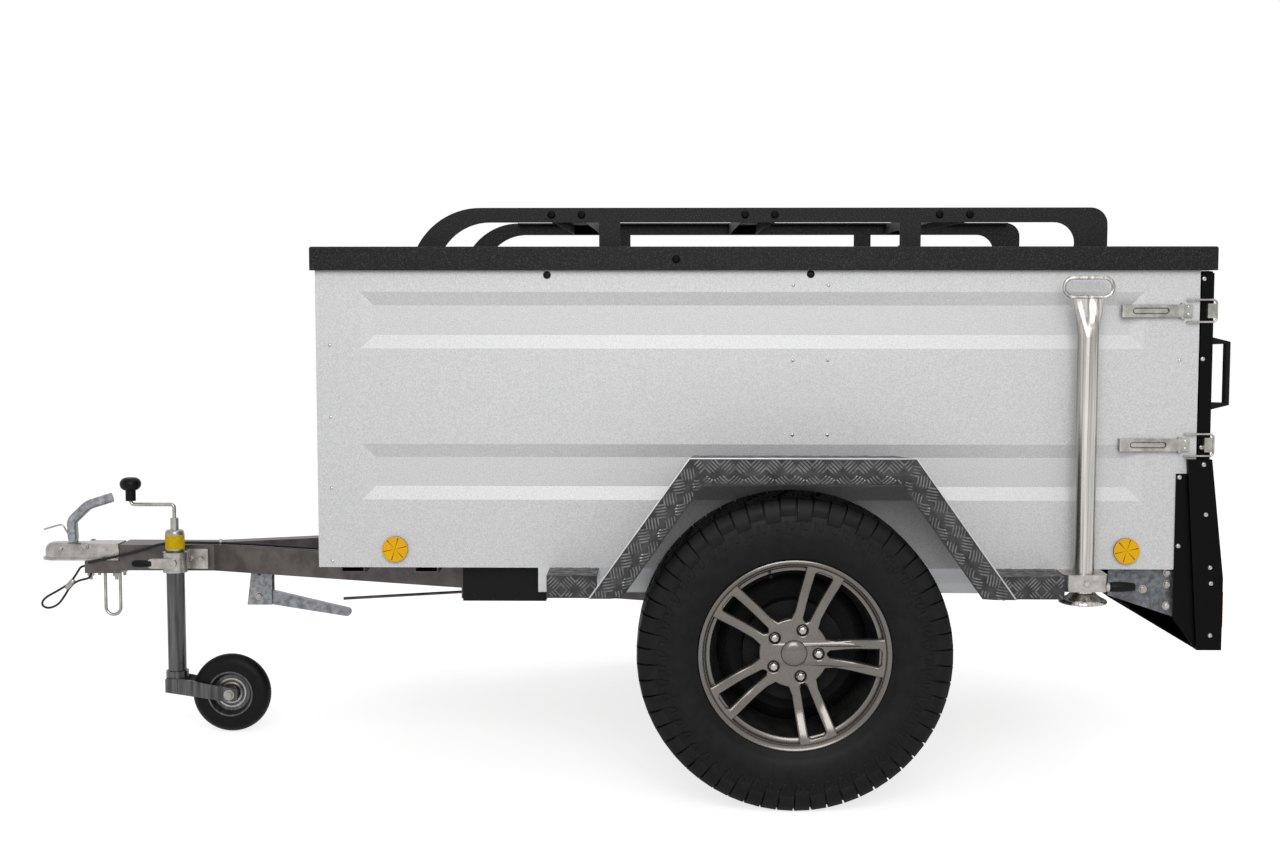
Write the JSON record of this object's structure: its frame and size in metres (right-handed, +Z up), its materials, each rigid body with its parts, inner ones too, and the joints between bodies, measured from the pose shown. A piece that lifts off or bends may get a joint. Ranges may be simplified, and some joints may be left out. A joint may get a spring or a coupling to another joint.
{
  "type": "off-road rooftop tent trailer",
  "caption": "Compact off-road trailer: silver swaged box, black lid with a roof rack for a tent, V drawbar, jockey wheel, checker-plate fenders.",
  "frame": {"origin": "on the ground under the middle of the trailer's overall box", "axes": "+X to the rear, away from the coupling; +Y to the trailer's right; +Z up"},
  "size_m": [3.06, 1.72, 1.381],
  "materials": {
    "tyre": "moulded rubber with open blocks",
    "rim_alloy": "cast alloy, bronze grey lacquer",
    "hub_iron": "cast, painted dark",
    "galvanised": "hot dip galvanised",
    "bright_zinc": "bright zinc plated pressing",
    "box_aluminium": "grained silver sheet",
    "sill_silver": "plain silver sheet",
    "plywood": "film faced plywood",
    "lid_coat": "speckled textured coat",
    "rack_coat": "speckled textured powder coat",
    "checker_plate": "five bar checker plate",
    "black_steel": "satin black powder coat",
    "latch_zinc": "bright zinc plated pressing",
    "wire_zinc": "bright wire",
    "stand_chrome": "bright zinc plated tube",
    "amber_lens": "prismatic lens",
    "red_lens": "prismatic lens",
    "black_plastic": "moulded black plastic",
    "solid_rubber": "solid rubber",
    "cable_black": "black cable jacket"
  },
  "bodies": {
    "chassis": {"axle_beam": "galvanised", "swing_arms": "galvanised", "floor_panel": "plywood", "box_side_left": "box_aluminium", "box_side_right": "box_aluminium", "box_front": "box_aluminium", "rear_header": "box_aluminium", "lid_hinge_bases": "bright_zinc", "tailgate_hinge_bases": "black_steel", "toggle_latches": "latch_zinc", "rear_cheeks": "black_steel", "rear_bumper": "black_steel", "skid_plate": "black_steel", "gussets": "galvanised", "rear_lamps": "red_lens", "side_sills": "sill_silver", "cross_members": "galvanised", "drawbar_left": "galvanised", "drawbar_right": "galvanised", "nose_block": "galvanised", "coupling_body": "bright_zinc", "coupling_handle": "bright_zinc", "cable_eye": "bright_zinc", "fender_left": "checker_plate", "fender_right": "checker_plate", "running_boards": "checker_plate", "side_reflectors": "amber_lens", "chock_boxes": "black_plastic", "jockey_clamp": "bright_zinc", "steady_bracket": "bright_zinc", "release_rod": "galvanised", "prop_clamps": "bright_zinc", "lighting_lead": "cable_black", "safety_cable": "cable_black"},
    "lid": {"lid_shell": "lid_coat", "lid_hinge_leaves": "bright_zinc", "rack_rail_left": "rack_coat", "rack_rail_right": "rack_coat", "rack_crossbars": "rack_coat"},
    "tailgate": {"tailgate_panel": "black_steel", "tailgate_hinge_leaves": "black_steel", "tailgate_handles": "black_plastic", "latch_bails": "wire_zinc"},
    "wheel_left": {"tyre_left": "tyre", "rim_left": "rim_alloy", "hub_left": "hub_iron"},
    "wheel_right": {"tyre_right": "tyre", "rim_right": "rim_alloy", "hub_right": "hub_iron"},
    "jockey_post": {"jockey_tube": "galvanised", "jockey_head": "bright_zinc", "jockey_crank": "bright_zinc", "jockey_knob": "black_plastic"},
    "jockey_swivel": {"jockey_fork": "galvanised"},
    "jockey_wheel": {"jockey_tyre": "solid_rubber", "jockey_rim": "bright_zinc"},
    "prop_left": {"prop_stand_left": "stand_chrome"},
    "prop_right": {"prop_stand_right": "stand_chrome"},
    "steady": {"steady_leg": "bright_zinc"}
  },
  "joints": [
    {"name": "lid_hinge", "type": "hinge", "parent": "chassis", "child": "lid", "pos_m": [-0.674, 0, 1.222], "axis": [0, -1, 0], "range_deg": [0, 45]},
    {"name": "tailgate_hinge", "type": "hinge", "parent": "chassis", "child": "tailgate", "pos_m": [1.478, 0, 0.512], "axis": [0, 1, 0], "range_deg": [0, 90]},
    {"name": "wheel_left_spin", "type": "hinge", "parent": "chassis", "child": "wheel_left", "pos_m": [0.472, -0.726, 0.36], "axis": [0, 1, 0], "continuous": true},
    {"name": "wheel_right_spin", "type": "hinge", "parent": "chassis", "child": "wheel_right", "pos_m": [0.472, 0.726, 0.36], "axis": [0, 1, 0], "continuous": true},
    {"name": "jockey_slide", "type": "slide", "parent": "chassis", "child": "jockey_post", "axis": [0, 0, 1], "range_m": [0, 0.2]},
    {"name": "jockey_swivel_turn", "type": "hinge", "parent": "jockey_post", "child": "jockey_swivel", "pos_m": [-1.137, -0.11, 0.15], "axis": [0, 0, 1], "continuous": true},
    {"name": "jockey_wheel_spin", "type": "hinge", "parent": "jockey_swivel", "child": "jockey_wheel", "pos_m": [-0.99, -0.11, 0.105], "axis": [0, 1, 0], "continuous": true},
    {"name": "prop_left_slide", "type": "slide", "parent": "chassis", "child": "prop_left", "axis": [0, 0, -1], "range_m": [0, 0.44]},
    {"name": "prop_right_slide", "type": "slide", "parent": "chassis", "child": "prop_right", "axis": [0, 0, -1], "range_m": [0, 0.44]},
    {"name": "steady_hinge", "type": "hinge", "parent": "chassis", "child": "steady", "pos_m": [-0.948, 0.06, 0.34], "axis": [0, 1, 0], "range_deg": [0, 80]}
  ]
}
